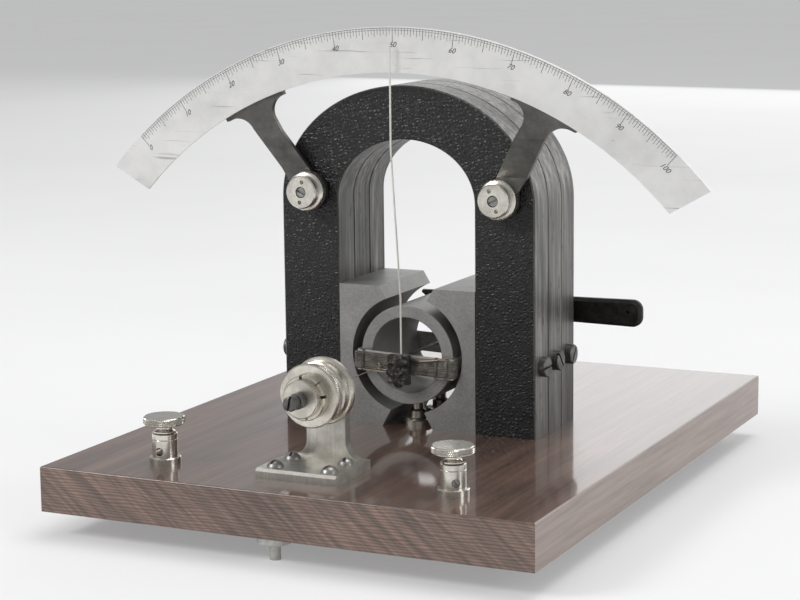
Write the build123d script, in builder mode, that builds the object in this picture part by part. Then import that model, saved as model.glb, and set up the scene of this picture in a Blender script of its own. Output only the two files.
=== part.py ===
from build123d import *
import math
import os

os.makedirs("parts", exist_ok=True)

# Moving-coil galvanometer on a wooden board. Millimetres, +Z up, +X to the right of the
# dial's reader, +Y away from the reader. The origin is on the table, under the middle of
# the board, which is also under the middle of the magnet.

# Board and feet
BASE_W = 270.0
BASE_D = 357.0
BASE_T = 23.5
BASE_EDGE = 0.8
FOOT_H = 13.0
FOOT_FLANGE_R = 9.0
FOOT_FLANGE_T = 5.2
FOOT_RIM_T = 3.6
FOOT_STEM_R = 2.8
FOOT_SPIGOT_R = 2.0
FOOT_SPIGOT_L = 9.0
FOOT_EDGE_FRONT = 11.5
FOOT_EDGE_REAR = 20.0
FOOT_FRONT_X = -6.2

# Magnet: three equal horseshoe laminations
LAM_N = 3
LAM_T = 19.0
MAG_HALF = 74.2
LEG_W = 34.1
SPRING_H = 122.7
ARCH_RISE = 62.3
ARCH_RISE_IN = 33.7
LAM_EDGE = 0.7

# Pole pieces and the coil axis
AXIS_H = 40.0
BORE_R = 32.5
POLE_H = 77.0
POLE_TIP_TOP = 12.0
POLE_TOP_HALF = 16.2
POLE_TIP_LOW = 10.0
POLE_LOW_HALF = 15.0

# Core and its two stems
CORE_R = 27.0
CORE_IN_R = 20.5
STEM_PITCH = 30.0
STEM_FOOT_R = 8.3
STEM_FOOT_T = 3.0
STEM_BODY_R = 4.6
STEM_BODY_TOP = 8.3
STEM_NECK_R = 3.1
STEM_SEAT = 0.5
STEM_STUD_R = 2.5
STEM_STUD_L = 17.0

# Moving coil
COIL_DROP = 4.5
COIL_TILT = 2.0
COIL_IN_HALF = 27.8
COIL_END_GAP = 2.3
FORMER_T = 0.8
FORMER_W = 11.2
WINDING_T = 2.0
WINDING_W = 9.6
CLAMP_W = 12.6
CLAMP_T = 4.0
CLAMP_LOW = 14.3
CLAMP_UP = 1.3
CLAMP_X = -1.2
REAR_CLAMP_W = 9.0
REAR_CLAMP_LOW = 10.5
REAR_CLAMP_UP = 0.9
SPINDLE_R = 0.8
WIRE_R = 0.25
FIT = 0.05

# Pointer
POINTER_R = 0.5
POINTER_LEN = 168.0
POINTER_BEND_LOW = 33.0
POINTER_BEND_UP = 112.0
POINTER_LEAN = 9.8
POINTER_INSET = 1.9

# Scale, its brackets and clamp nuts
SCALE_T = 1.5
SCALE_R = 228.2
SCALE_W = 23.8
SCALE_CENTRE_H = -11.9
SCALE_HALF_ANGLE = 60.6
BRACKET_T = 3.0
WASHER_T = 1.5
WASHER_R = 9.0
CRANK = 7.4
CRANK_SHARE = 0.85
EYE_X = 56.0
EYE_H = 127.3
EYE_R = 10.7
ARM_W = 14.3
HEAD_ANGLE = 24.4
HEAD_HALF_ANGLE = 5.45
HEAD_UP = 11.6
HEAD_DOWN = 1.7
FLARE_SHARE = 0.8
SCALE_SCREW_HALF_ANGLE = 3.6
SCALE_SCREW_IN = 6.5
SCALE_SCREW_R = 1.2
SCALE_SCREW_BITE = 1.0
SCALE_SCREW_HEAD_R = 2.3
SCALE_SCREW_HEAD_T = 1.5
STUD_R = 3.0
STUD_IN = 10.0
NUT_FLANGE_R = 10.6
NUT_FLANGE_T = 3.4
NUT_DISC_R = 8.9
NUT_H = 8.6
NUT_HOLE_R = 1.1
NUT_HOLE_PITCH = 11.1
NUT_TURN = {"left": 8.3, "right": -20.9}

# Screws through the legs into the pole pieces
SIDE_SCREW_H = 37.8
SIDE_HEAD_R = 5.3
SIDE_HEAD_T = 4.0
SIDE_SHANK_R = 2.5
SIDE_BITE = 4.6
SLOT_W = 1.3

# Screws that hold the pole pieces down from under the board
HOLD_X = 33.0
HOLD_PITCH_Y = 38.0
HOLD_SHANK_R = 2.5
HOLD_HEAD_R = 4.5
HOLD_HEAD_T = 3.2
HOLD_SINK = 4.0
HOLD_BITE = 12.0

# Stands for the suspension, front and rear
PLATE_HALF = 22.2
PLATE_L = 38.4
PLATE_T = 5.2
PLATE_BEVEL = 1.4
UPRIGHT_HALF = 10.9
UPRIGHT_T = 5.2
UPRIGHT_FLARE = 8.6
FRONT_STAND_EDGE = 60.1
REAR_STAND_EDGE = 80.5
STAND_SCREW_X = 15.0
STAND_SCREW_EDGE = 7.4
STAND_SCREW_PITCH = 18.0
STAND_HEAD_R = 4.3
STAND_HEAD_T = 3.2
STAND_SHANK_R = 1.7
STAND_SHANK_L = 16.0

# Torsion head
HEAD_GAP = 0.2
HEAD_SHAFT_R = 4.0
DRUM_L = 17.4
DRUM_FLANGE_R = 16.2
DRUM_REAR_R = 17.2
DRUM_BAND_R = 15.5
DRUM_GROOVE_R = 14.0
RING_R = 11.4
RING_BORE_R = 7.2
RING_T = 5.4
RING_SLOT_W = 1.5
RING_SLOT_D = 3.0
DISC_R = 9.4
DISC_T = 4.0
RING_SLOT_TURN = 8.0
RING_CUT_W = 0.5
RING_CUT_TURN = 46.0
HEAD_SCREW_R = 3.7
HEAD_SCREW_T = 11.0
HEAD_SCREW_SLOT_D = 1.6
HEAD_COLLAR_R = 4.1
HEAD_COLLAR_T = 4.2
HEAD_COLLAR_NECK_R = 2.7
RETAINER_R = 7.5
RETAINER_T = 3.2

# Rear tension screw
TENSION_R = 3.0
TENSION_FRONT = 14.0
TENSION_HEAD_R = 7.0
TENSION_HEAD_T = 5.0
TENSION_NUT_R = 6.0
TENSION_NUT_T = 3.5

# Terminals
TERMINAL_SIDE = 54.8
TERMINAL_EDGE = 31.8
POST_FLANGE_R = 8.0
POST_FLANGE_T = 3.7
POST_R = 6.5
POST_H = 16.0
POST_GROOVE_DOWN = 3.2
WIRE_HOLE_R = 2.2
WIRE_HOLE_H = 7.0
WIRE_HOLE_TURN = {"left": 4.0, "right": 36.0}
SHANK_R = 2.5
SHANK_LIFT = 0.4
KNOB_R = 10.3
KNOB_T = 4.1
KNOB_TOP_H = 24.5
KNOB_NECK_R = 3.9
KNOB_SHOULDER_R = 5.7
KNOB_GAP = 0.25
POST_STUD_R = 2.5
POST_NUT_R = 4.6
POST_NUT_T = 3.5
POST_WASHER_R = 6.0
POST_WASHER_T = 1.0

# Leads in saw-cut grooves under the board
LEAD_R = 0.6
LEAD_EYE_R = 5.0
LEAD_GROOVE_W = 2.0
LEAD_BEND_R = 3.0
LEAD_RISE_IN = 14.0

# Rear lever
LEVER_T = 4.0
LEVER_W = 11.2
LEVER_H = 59.0
LEVER_PIVOT_X = 57.0
LEVER_INNER = 78.0
LEVER_OUTER = 53.2
LEVER_END_W = 15.0
LEVER_END_R = 5.5
LEVER_BEVEL = 1.8
LEVER_BITE_R = 4.4
LEVER_HOLE_R = 1.0
LEVER_HOLE_IN = 7.6
LEVER_HOLE_D = 1.6
LEVER_STANDOFF = 7.0
PIVOT_R = 3.0
PIVOT_BOSS_R = 6.5
PIVOT_HEAD_R = 6.2
PIVOT_HEAD_T = 3.2
PIVOT_BITE = 9.0

# Worked out from the sizes above
FRONT_STAND_Y = -BASE_D / 2 + FRONT_STAND_EDGE
REAR_STAND_Y = BASE_D / 2 - REAR_STAND_EDGE
LEAD_RISE_Y = REAR_STAND_Y + LEAD_RISE_IN
TERMINAL_X = BASE_W / 2 - TERMINAL_SIDE
TERMINAL_Y = -BASE_D / 2 + TERMINAL_EDGE
BASE_TOP = FOOT_H + BASE_T
AXIS_Z = BASE_TOP + AXIS_H
MAG_DEPTH = LAM_N * LAM_T
MAG_FRONT = -MAG_DEPTH / 2
MAG_REAR = MAG_DEPTH / 2
LEG_IN = MAG_HALF - LEG_W
SCALE_Z = BASE_TOP + SCALE_CENTRE_H
SCALE_IN_R = SCALE_R - SCALE_W
EYE_BACK = MAG_FRONT - WASHER_T
BRACKET_FRONT = EYE_BACK - BRACKET_T
SCALE_BACK = BRACKET_FRONT - CRANK
SCALE_FRONT = SCALE_BACK - SCALE_T
EYE_Z = BASE_TOP + EYE_H
COIL_Z = AXIS_Z - COIL_DROP
COIL_FRONT_IN = MAG_FRONT - COIL_END_GAP
WINDING_OUT_Y = -COIL_FRONT_IN + FORMER_T + WINDING_T
STEM_YS = (-STEM_PITCH / 2, STEM_PITCH / 2)
SIDES = (("left", -1), ("right", 1))


def upward(x, y, z):
    """Plane whose local Y points up, for pieces turned about a vertical axis."""
    return Plane(origin=(x, y, z), x_dir=(1, 0, 0), z_dir=(0, -1, 0))


def downward(x, y, z):
    """Plane whose local Y points down."""
    return Plane(origin=(x, y, z), x_dir=(1, 0, 0), z_dir=(0, 1, 0))


def forward(x, y, z):
    """Plane whose local Y points to the reader, along -Y."""
    return Plane(origin=(x, y, z), x_dir=(1, 0, 0), z_dir=(0, 0, -1))


def rearward(x, y, z):
    """Plane whose local Y points away from the reader, along +Y."""
    return Plane(origin=(x, y, z), x_dir=(1, 0, 0), z_dir=(0, 0, 1))


def sideways(x, y, z, side):
    """Plane whose local Y points to the right or the left."""
    return Plane(origin=(x, y, z), x_dir=(0, 0, 1), z_dir=(0, side, 0))


def turned(place, points):
    """Solid turned about the place's local Y from (radius, length) points."""
    with BuildPart() as piece:
        with BuildSketch(place):
            with BuildLine():
                Polyline(*points, close=True)
            make_face()
        revolve(axis=Axis(place.origin, place.y_dir))
    return piece.part


def across(place, along):
    """Plane square to the place's local Y, at a distance along it."""
    return Plane(origin=place.origin + place.y_dir * along, x_dir=place.x_dir, z_dir=place.y_dir)


def screw(place, head_r, head_t, shank_r, shank_l, slot_turn=0.0, domed=False):
    """Slotted screw whose seat is the place's origin and whose head points along local Y."""
    with BuildPart() as piece:
        with BuildSketch(place):
            with BuildLine():
                Polyline((0, head_t), (0, -shank_l), (shank_r, -shank_l), (shank_r, 0), (head_r, 0))
                if domed:
                    dome = (head_r * head_r + head_t * head_t) / (2 * head_t)
                    half = math.asin(head_r / dome) / 2
                    middle = (dome * math.sin(half), head_t - dome + dome * math.cos(half))
                    ThreePointArc((head_r, 0), middle, (0, head_t))
                else:
                    brim = 0.12 * head_t
                    Polyline((head_r, 0), (head_r, head_t - brim), (head_r - brim, head_t), (0, head_t))
            make_face()
        revolve(axis=Axis(place.origin, place.y_dir))
        with BuildSketch(across(place, head_t)):
            Rectangle(2.4 * head_r, SLOT_W, rotation=slot_turn)
        extrude(amount=-0.45 * head_t, mode=Mode.SUBTRACT)
    return piece.part


def box_between(low, high):
    """Box from its low corner to its high corner."""
    size = [b - a for a, b in zip(low, high)]
    middle = [(a + b) / 2 for a, b in zip(low, high)]
    with BuildPart() as piece:
        with BuildSketch(Plane.XY.offset(low[2])):
            with Locations((middle[0], middle[1])):
                Rectangle(size[0], size[1])
        extrude(amount=size[2])
    return piece.part


def scale_point(radius, angle):
    """Point on the scale's own circle, as X and height, from radius and degrees off vertical."""
    turn = math.radians(angle)
    return (radius * math.sin(turn), SCALE_Z + radius * math.cos(turn))


# Board
FOOT_YS = (-BASE_D / 2 + FOOT_EDGE_FRONT, BASE_D / 2 - FOOT_EDGE_REAR)
FOOT_REAR_X = BASE_W / 2 - FOOT_EDGE_REAR
FEET = ((FOOT_FRONT_X, FOOT_YS[0]), (-FOOT_REAR_X, FOOT_YS[1]), (FOOT_REAR_X, FOOT_YS[1]))
HOLD_PLACES = [(sx * HOLD_X, sy * HOLD_PITCH_Y / 2) for sx in (-1, 1) for sy in (-1, 1)]
TERMINALS = {tag: (side * TERMINAL_X, TERMINAL_Y) for tag, side in SIDES}
STEM_SINK = POST_WASHER_T + POST_NUT_T + 1.5
POST_SINK = 2 * LEAD_R + POST_WASHER_T + POST_NUT_T + 1.0
LEAD_Z = FOOT_H + POST_SINK - LEAD_R
LEADS = {
    "left": [TERMINALS["left"], (0, TERMINAL_Y)],
    "right": [TERMINALS["right"], (TERMINAL_X, LEAD_RISE_Y), (0, LEAD_RISE_Y)],
}


def stand_screw_places(rear_edge, facing):
    """Four screw places on a stand's foot, counted from the foot's outer edge."""
    outer = rear_edge + facing * PLATE_L
    first = outer - facing * STAND_SCREW_EDGE
    second = first - facing * STAND_SCREW_PITCH
    return [(x, y) for y in (first, second) for x in (-STAND_SCREW_X, STAND_SCREW_X)]


STANDS = {"front": (FRONT_STAND_Y, -1), "rear": (REAR_STAND_Y, 1)}
STAND_SCREWS = {name: stand_screw_places(*place) for name, place in STANDS.items()}

with BuildPart() as base_board:
    with BuildSketch(Plane.XY.offset(FOOT_H)):
        Rectangle(BASE_W, BASE_D)
    extrude(amount=BASE_T)
    fillet(base_board.edges().group_by(Axis.Z)[-1], BASE_EDGE)
    with BuildSketch(Plane.XY.offset(FOOT_H)):
        with Locations(*FEET):
            Circle(FOOT_SPIGOT_R + FIT)
    extrude(amount=FOOT_SPIGOT_L + FIT, mode=Mode.SUBTRACT)
    with BuildSketch(Plane.XY.offset(FOOT_H)):
        with Locations(*HOLD_PLACES):
            Circle(HOLD_SHANK_R + FIT)
        with Locations(*[(0, y) for y in STEM_YS]):
            Circle(STEM_STUD_R + FIT)
        with Locations(*TERMINALS.values()):
            Circle(POST_STUD_R + FIT)
    extrude(amount=BASE_T, mode=Mode.SUBTRACT)
    with BuildSketch(Plane.XY.offset(FOOT_H)):
        with Locations(*HOLD_PLACES):
            Circle(HOLD_HEAD_R + 0.5)
    extrude(amount=HOLD_SINK, mode=Mode.SUBTRACT)
    with BuildSketch(Plane.XY.offset(FOOT_H)):
        with Locations(*[(0, y) for y in STEM_YS]):
            Circle(POST_WASHER_R + 0.5)
    extrude(amount=STEM_SINK, mode=Mode.SUBTRACT)
    with BuildSketch(Plane.XY.offset(FOOT_H)):
        with Locations(*TERMINALS.values()):
            Circle(POST_WASHER_R + 0.5)
    extrude(amount=POST_SINK, mode=Mode.SUBTRACT)
    with BuildSketch(Plane.XY.offset(BASE_TOP)):
        with Locations(*(STAND_SCREWS["front"] + STAND_SCREWS["rear"])):
            Circle(STAND_SHANK_R + FIT)
    extrude(amount=-(STAND_SHANK_L - PLATE_T + 1.0), mode=Mode.SUBTRACT)
    with BuildSketch(Plane.XY.offset(FOOT_H)):
        for route in LEADS.values():
            for (x1, y1), (x2, y2) in zip(route, route[1:]):
                with Locations(((x1 + x2) / 2, (y1 + y2) / 2)):
                    Rectangle(abs(x2 - x1) + LEAD_GROOVE_W, abs(y2 - y1) + LEAD_GROOVE_W)
            with Locations(*route[1:]):
                Circle(LEAD_BEND_R)
    extrude(amount=POST_SINK, mode=Mode.SUBTRACT)
    with BuildSketch(Plane.XY.offset(FOOT_H)):
        with Locations(*[route[-1] for route in LEADS.values()]):
            Circle(LEAD_BEND_R + LEAD_GROOVE_W / 2)
    extrude(amount=POST_SINK + LEAD_BEND_R, mode=Mode.SUBTRACT)
    with BuildSketch(Plane.XY.offset(FOOT_H)):
        with Locations(*[route[-1] for route in LEADS.values()]):
            Circle(LEAD_R + 0.3)
    extrude(amount=BASE_T, mode=Mode.SUBTRACT)
base_board.part.label = "base_board"
export_step(base_board.part, "parts/base_board.step")

for tag, route in LEADS.items():
    with BuildPart() as lead:
        with BuildSketch(Plane.XY.offset(LEAD_Z - LEAD_R)):
            with Locations(route[0]):
                Circle(LEAD_EYE_R)
                Circle(POST_STUD_R + FIT, mode=Mode.SUBTRACT)
        extrude(amount=2 * LEAD_R)
        away = Vector(*route[1]) - Vector(*route[0])
        start = Vector(*route[0]) + away.normalized() * (LEAD_EYE_R - LEAD_R)
        with BuildLine():
            FilletPolyline(
                (start.X, start.Y, LEAD_Z), *[(x, y, LEAD_Z) for x, y in route[1:]],
                (*route[-1], BASE_TOP), radius=LEAD_BEND_R)
        with BuildSketch(Plane(origin=(start.X, start.Y, LEAD_Z), z_dir=away.normalized())):
            Circle(LEAD_R)
        sweep()
    lead.part.label = f"lead_{tag}"
    export_step(lead.part, f"parts/lead_{tag}.step")

with BuildPart() as feet:
    for x, y in FEET:
        add(turned(upward(x, y, 0), (
            (0, 0), (FOOT_STEM_R, 0), (FOOT_STEM_R, FOOT_H - FOOT_FLANGE_T - 1.4),
            (FOOT_STEM_R + 1.2, FOOT_H - FOOT_FLANGE_T - 0.3), (FOOT_FLANGE_R - 3.0, FOOT_H - FOOT_FLANGE_T),
            (FOOT_FLANGE_R - 0.8, FOOT_H - FOOT_FLANGE_T + 0.8), (FOOT_FLANGE_R, FOOT_H - FOOT_RIM_T),
            (FOOT_FLANGE_R, FOOT_H), (FOOT_SPIGOT_R, FOOT_H),
            (FOOT_SPIGOT_R, FOOT_H + FOOT_SPIGOT_L), (0, FOOT_H + FOOT_SPIGOT_L))))
feet.part.label = "feet"
export_step(feet.part, "parts/feet.step")

# Magnet laminations
SIDE_YS = [MAG_FRONT + LAM_T * (i + 0.5) for i in range(LAM_N)]
SPRING_Z = BASE_TOP + SPRING_H
LAM_NAMES = ["magnet_front", "magnet_middle", "magnet_rear"]
for i, lam_name in enumerate(LAM_NAMES):
    front = MAG_FRONT + i * LAM_T
    with BuildPart() as lamination:
        with BuildSketch(Plane.XZ.offset(-front)):
            with BuildLine():
                Line((-MAG_HALF, SPRING_Z), (-MAG_HALF, BASE_TOP))
                Line((-MAG_HALF, BASE_TOP), (-LEG_IN, BASE_TOP))
                Line((-LEG_IN, BASE_TOP), (-LEG_IN, SPRING_Z))
                EllipticalCenterArc((0, SPRING_Z), LEG_IN, ARCH_RISE_IN, start_angle=0, arc_size=180)
                Line((LEG_IN, SPRING_Z), (LEG_IN, BASE_TOP))
                Line((LEG_IN, BASE_TOP), (MAG_HALF, BASE_TOP))
                Line((MAG_HALF, BASE_TOP), (MAG_HALF, SPRING_Z))
                EllipticalCenterArc((0, SPRING_Z), MAG_HALF, ARCH_RISE, start_angle=0, arc_size=180)
            make_face()
        extrude(amount=-LAM_T)
        rims = lamination.faces().filter_by(Axis.Y).edges()
        chamfer(rims.filter_by(lambda e: e.center().Z > BASE_TOP + 1), LAM_EDGE)
        with BuildSketch(Plane.YZ.offset(-MAG_HALF)):
            with Locations((SIDE_YS[i], BASE_TOP + SIDE_SCREW_H)):
                Circle(SIDE_SHANK_R + FIT)
        extrude(amount=2 * MAG_HALF, mode=Mode.SUBTRACT)
        if i == 0:
            with BuildSketch(Plane.XZ.offset(-MAG_FRONT)):
                with Locations((-EYE_X, EYE_Z), (EYE_X, EYE_Z)):
                    Circle(STUD_R + FIT)
            extrude(amount=-STUD_IN, mode=Mode.SUBTRACT)
        if i == LAM_N - 1:
            with BuildSketch(Plane.XZ.offset(-MAG_REAR)):
                with Locations((LEVER_PIVOT_X, BASE_TOP + LEVER_H)):
                    Circle(PIVOT_R + FIT)
            extrude(amount=PIVOT_BITE, mode=Mode.SUBTRACT)
    lamination.part.label = lam_name
    export_step(lamination.part, f"parts/{lam_name}.step")

# Pole pieces
for tag, side in SIDES:
    with BuildPart() as pole:
        with BuildSketch(Plane.XZ.offset(-MAG_FRONT)):
            with BuildLine():
                tip_low = AXIS_Z - math.sqrt(BORE_R ** 2 - POLE_TIP_LOW ** 2)
                tip_top = AXIS_Z + math.sqrt(BORE_R ** 2 - POLE_TIP_TOP ** 2)
                Polyline(
                    (side * LEG_IN, BASE_TOP), (side * POLE_LOW_HALF, BASE_TOP),
                    (side * POLE_TIP_LOW, tip_low), (side * POLE_TIP_TOP, tip_top),
                    (side * POLE_TOP_HALF, BASE_TOP + POLE_H), (side * LEG_IN, BASE_TOP + POLE_H), close=True)
            make_face()
            with Locations((0, AXIS_Z)):
                Circle(BORE_R, mode=Mode.SUBTRACT)
        extrude(amount=-MAG_DEPTH)
        with BuildSketch(Plane.XY.offset(BASE_TOP)):
            with Locations(*[(x, y) for x, y in HOLD_PLACES if x * side > 0]):
                Circle(HOLD_SHANK_R + FIT)
        extrude(amount=HOLD_BITE, mode=Mode.SUBTRACT)
        with BuildSketch(Plane.YZ.offset(side * LEG_IN)):
            with Locations(*[(y, BASE_TOP + SIDE_SCREW_H) for y in SIDE_YS]):
                Circle(SIDE_SHANK_R + FIT)
        extrude(amount=-side * (SIDE_BITE + FIT), mode=Mode.SUBTRACT)
    pole.part.label = f"pole_{tag}"
    export_step(pole.part, f"parts/pole_{tag}.step")

with BuildPart() as pole_screws:
    for x, y in HOLD_PLACES:
        seat = downward(x, y, FOOT_H + HOLD_SINK)
        add(screw(seat, HOLD_HEAD_R, HOLD_HEAD_T, HOLD_SHANK_R, BASE_T - HOLD_SINK + HOLD_BITE - 1.0))
pole_screws.part.label = "pole_screws"
export_step(pole_screws.part, "parts/pole_screws.step")

SIDE_SLOTS = {"left": (20.0, 75.0, -30.0), "right": (90.0, 40.0, -35.0)}
for tag, side in SIDES:
    with BuildPart() as side_screws:
        for y, slot_turn in zip(SIDE_YS, SIDE_SLOTS[tag]):
            seat = sideways(side * MAG_HALF, y, BASE_TOP + SIDE_SCREW_H, side)
            add(screw(seat, SIDE_HEAD_R, SIDE_HEAD_T, SIDE_SHANK_R, LEG_W + SIDE_BITE, slot_turn))
    side_screws.part.label = f"magnet_screws_{tag}"
    export_step(side_screws.part, f"parts/magnet_screws_{tag}.step")

# Core ring on its two turned stems
STEM_TOP = AXIS_Z - CORE_R + STEM_SEAT
with BuildPart() as core_ring:
    with BuildSketch(Plane.XZ.offset(-MAG_FRONT)):
        with Locations((0, AXIS_Z)):
            Circle(CORE_R)
            Circle(CORE_IN_R, mode=Mode.SUBTRACT)
    extrude(amount=-MAG_DEPTH)
    chamfer(core_ring.edges().filter_by(GeomType.CIRCLE), 0.4)
    with BuildSketch(Plane.XY.offset(AXIS_Z - CORE_R - 1.0)):
        with Locations(*[(0, y) for y in STEM_YS]):
            Circle(STEM_NECK_R + FIT)
    extrude(amount=1.0 + STEM_SEAT, mode=Mode.SUBTRACT)
    with BuildSketch(Plane.XY.offset(STEM_TOP)):
        with Locations(*[(0, y) for y in STEM_YS]):
            Circle(STEM_NECK_R - 1.0 + FIT)
    extrude(amount=3.5, mode=Mode.SUBTRACT)
core_ring.part.label = "core_ring"
export_step(core_ring.part, "parts/core_ring.step")

with BuildPart() as core_stems:
    for y in STEM_YS:
        add(turned(upward(0, y, BASE_TOP), (
            (0, -STEM_STUD_L), (STEM_STUD_R, -STEM_STUD_L), (STEM_STUD_R, 0), (STEM_FOOT_R, 0),
            (STEM_FOOT_R, STEM_FOOT_T - 0.6), (STEM_FOOT_R - 0.6, STEM_FOOT_T), (STEM_BODY_R + 0.8, STEM_FOOT_T),
            (STEM_BODY_R, STEM_FOOT_T + 0.8), (STEM_BODY_R, STEM_BODY_TOP - 1.0),
            (STEM_NECK_R, STEM_BODY_TOP), (STEM_NECK_R, STEM_TOP - BASE_TOP),
            (STEM_NECK_R - 1.0, STEM_TOP - BASE_TOP), (STEM_NECK_R - 1.0, STEM_TOP - BASE_TOP + 3.0),
            (0, STEM_TOP - BASE_TOP + 3.0))))
core_stems.part.label = "core_stems"
export_step(core_stems.part, "parts/core_stems.step")


def nut_and_washer(x, y, seat_z):
    """Washer and hexagon nut that hang below a seat, round a vertical stud."""
    with BuildPart() as pair:
        with BuildSketch(Plane.XY.offset(seat_z - POST_WASHER_T)):
            with Locations((x, y)):
                Circle(POST_WASHER_R)
                Circle(POST_STUD_R + FIT, mode=Mode.SUBTRACT)
        extrude(amount=POST_WASHER_T)
        with BuildSketch(Plane.XY.offset(seat_z - POST_WASHER_T - POST_NUT_T)):
            with Locations((x, y)):
                RegularPolygon(POST_NUT_R, 6)
                Circle(POST_STUD_R + FIT, mode=Mode.SUBTRACT)
        extrude(amount=POST_NUT_T)
    return pair.part


with BuildPart() as core_stem_nuts:
    for y in STEM_YS:
        add(nut_and_washer(0, y, FOOT_H + STEM_SINK))
core_stem_nuts.part.label = "core_stem_nuts"
export_step(core_stem_nuts.part, "parts/core_stem_nuts.step")

# Moving coil: former, winding, end clamps and the spindle through the core
COIL_PLANE = Plane(origin=(0, 0, AXIS_Z), x_dir=(1, 0, 0), z_dir=(0, 0, 1)).rotated((0, COIL_TILT, 0))


def coil_frame(half_x, half_y, wall, width):
    """Flat rectangular frame round the core, tilted with the coil."""
    with BuildPart() as frame:
        with BuildSketch(COIL_PLANE.offset(-COIL_DROP - width / 2)):
            RectangleRounded(2 * (half_x + wall), 2 * (half_y + wall), wall + 1.0)
            RectangleRounded(2 * half_x, 2 * half_y, 1.0, mode=Mode.SUBTRACT)
        extrude(amount=width)
    return frame.part


with BuildPart() as coil_former:
    add(coil_frame(COIL_IN_HALF, -COIL_FRONT_IN, FORMER_T, FORMER_W))
coil_former.part.label = "coil_former"
export_step(coil_former.part, "parts/coil_former.step")

with BuildPart() as coil_winding:
    add(coil_frame(COIL_IN_HALF + FORMER_T, -COIL_FRONT_IN + FORMER_T, WINDING_T, WINDING_W))
coil_winding.part.label = "coil_winding"
export_step(coil_winding.part, "parts/coil_winding.step")

POINTER_Y = -WINDING_OUT_Y - POINTER_INSET
with BuildPart() as coil_clamp_front:
    add(box_between(
        (CLAMP_X - CLAMP_W / 2, -WINDING_OUT_Y - CLAMP_T, AXIS_Z - CLAMP_LOW),
        (CLAMP_X + CLAMP_W / 2, -WINDING_OUT_Y, AXIS_Z + CLAMP_UP)))
    fillet(coil_clamp_front.edges().filter_by(Axis.Z), 0.8)
    with BuildSketch(Plane.XZ.offset(WINDING_OUT_Y)):
        with Locations((0, AXIS_Z)):
            Circle(WIRE_R + FIT)
    extrude(amount=CLAMP_T, mode=Mode.SUBTRACT)
    with BuildSketch(Plane.XY.offset(AXIS_Z + CLAMP_UP)):
        with Locations((0, POINTER_Y)):
            Circle(POINTER_R + FIT)
    extrude(amount=-(CLAMP_UP - WIRE_R - 0.3), mode=Mode.SUBTRACT)
coil_clamp_front.part.label = "coil_clamp_front"
export_step(coil_clamp_front.part, "parts/coil_clamp_front.step")

with BuildPart() as coil_clamp_rear:
    add(box_between(
        (-REAR_CLAMP_W / 2, WINDING_OUT_Y, AXIS_Z - REAR_CLAMP_LOW),
        (REAR_CLAMP_W / 2, WINDING_OUT_Y + CLAMP_T, AXIS_Z + REAR_CLAMP_UP)))
    fillet(coil_clamp_rear.edges().filter_by(Axis.Z), 0.8)
    with BuildSketch(Plane.XZ.offset(-WINDING_OUT_Y)):
        with Locations((0, AXIS_Z)):
            Circle(WIRE_R + FIT)
    extrude(amount=-CLAMP_T, mode=Mode.SUBTRACT)
coil_clamp_rear.part.label = "coil_clamp_rear"
export_step(coil_clamp_rear.part, "parts/coil_clamp_rear.step")

with BuildPart() as coil_spindle:
    add(turned(rearward(0, COIL_FRONT_IN, AXIS_Z), (
        (0, 0), (SPINDLE_R, 0), (SPINDLE_R, -2 * COIL_FRONT_IN), (0, -2 * COIL_FRONT_IN))))
coil_spindle.part.label = "coil_spindle"
export_step(coil_spindle.part, "parts/coil_spindle.step")

# Pointer: a straw that leans forward past the clamp nuts and stands in front of the scale
POINTER_FOOT_Z = AXIS_Z + WIRE_R + 0.35
with BuildPart() as pointer:
    with BuildLine() as pointer_path:
        FilletPolyline(
            (0, POINTER_Y, POINTER_FOOT_Z), (0, POINTER_Y, AXIS_Z + POINTER_BEND_LOW),
            (0, POINTER_Y - POINTER_LEAN, AXIS_Z + POINTER_BEND_UP),
            (0, POINTER_Y - POINTER_LEAN, AXIS_Z + POINTER_LEN), radius=40.0)
    with BuildSketch(Plane(origin=(0, POINTER_Y, POINTER_FOOT_Z), z_dir=(0, 0, 1))):
        Circle(POINTER_R)
    sweep(path=pointer_path.line)
pointer.part.label = "pointer"
export_step(pointer.part, "parts/pointer.step")

# Scale plate, its ends cut along radii from the coil axis
SCALE_SCREWS = [scale_point(SCALE_IN_R + SCALE_SCREW_IN, s * (HEAD_ANGLE + d * SCALE_SCREW_HALF_ANGLE))
                for s in (-1, 1) for d in (-1, 1)]
with BuildPart() as scale_plate:
    with BuildSketch(Plane.XZ.offset(-SCALE_FRONT)):
        with Locations((0, SCALE_Z)):
            Circle(SCALE_R)
            Circle(SCALE_IN_R, mode=Mode.SUBTRACT)
        reach = 2 * SCALE_R
        end = math.radians(SCALE_HALF_ANGLE)
        with BuildLine():
            Polyline(
                (0, AXIS_Z), (-reach * math.sin(end), AXIS_Z + reach * math.cos(end)),
                (-reach, AXIS_Z + reach), (reach, AXIS_Z + reach),
                (reach * math.sin(end), AXIS_Z + reach * math.cos(end)), close=True)
        make_face(mode=Mode.INTERSECT)
    extrude(amount=-SCALE_T)
    with BuildSketch(Plane.XZ.offset(-SCALE_BACK)):
        with Locations(*SCALE_SCREWS):
            Circle(SCALE_SCREW_R + FIT)
    extrude(amount=SCALE_SCREW_BITE + FIT, mode=Mode.SUBTRACT)
scale_plate.part.label = "scale_plate"
export_step(scale_plate.part, "parts/scale_plate.step")

# Scale brackets: flat arms that step forward between the eye and the T-shaped head
def meeting(start, direction, first, second):
    """Where a line from a start point crosses the line through two others, in X and height."""
    run = Vector(*second) - Vector(*first)
    gap = Vector(*first) - start
    return start + direction * (gap.cross(run).Z / direction.cross(run).Z)


def flare_radius(neck, corner, direction):
    """Radius that rounds a neck into the head and uses a set share of the head's free edge."""
    free = Vector(*corner) - neck
    return FLARE_SHARE * free.length * math.tan(math.radians(free.get_angle(-direction)) / 2)


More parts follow.
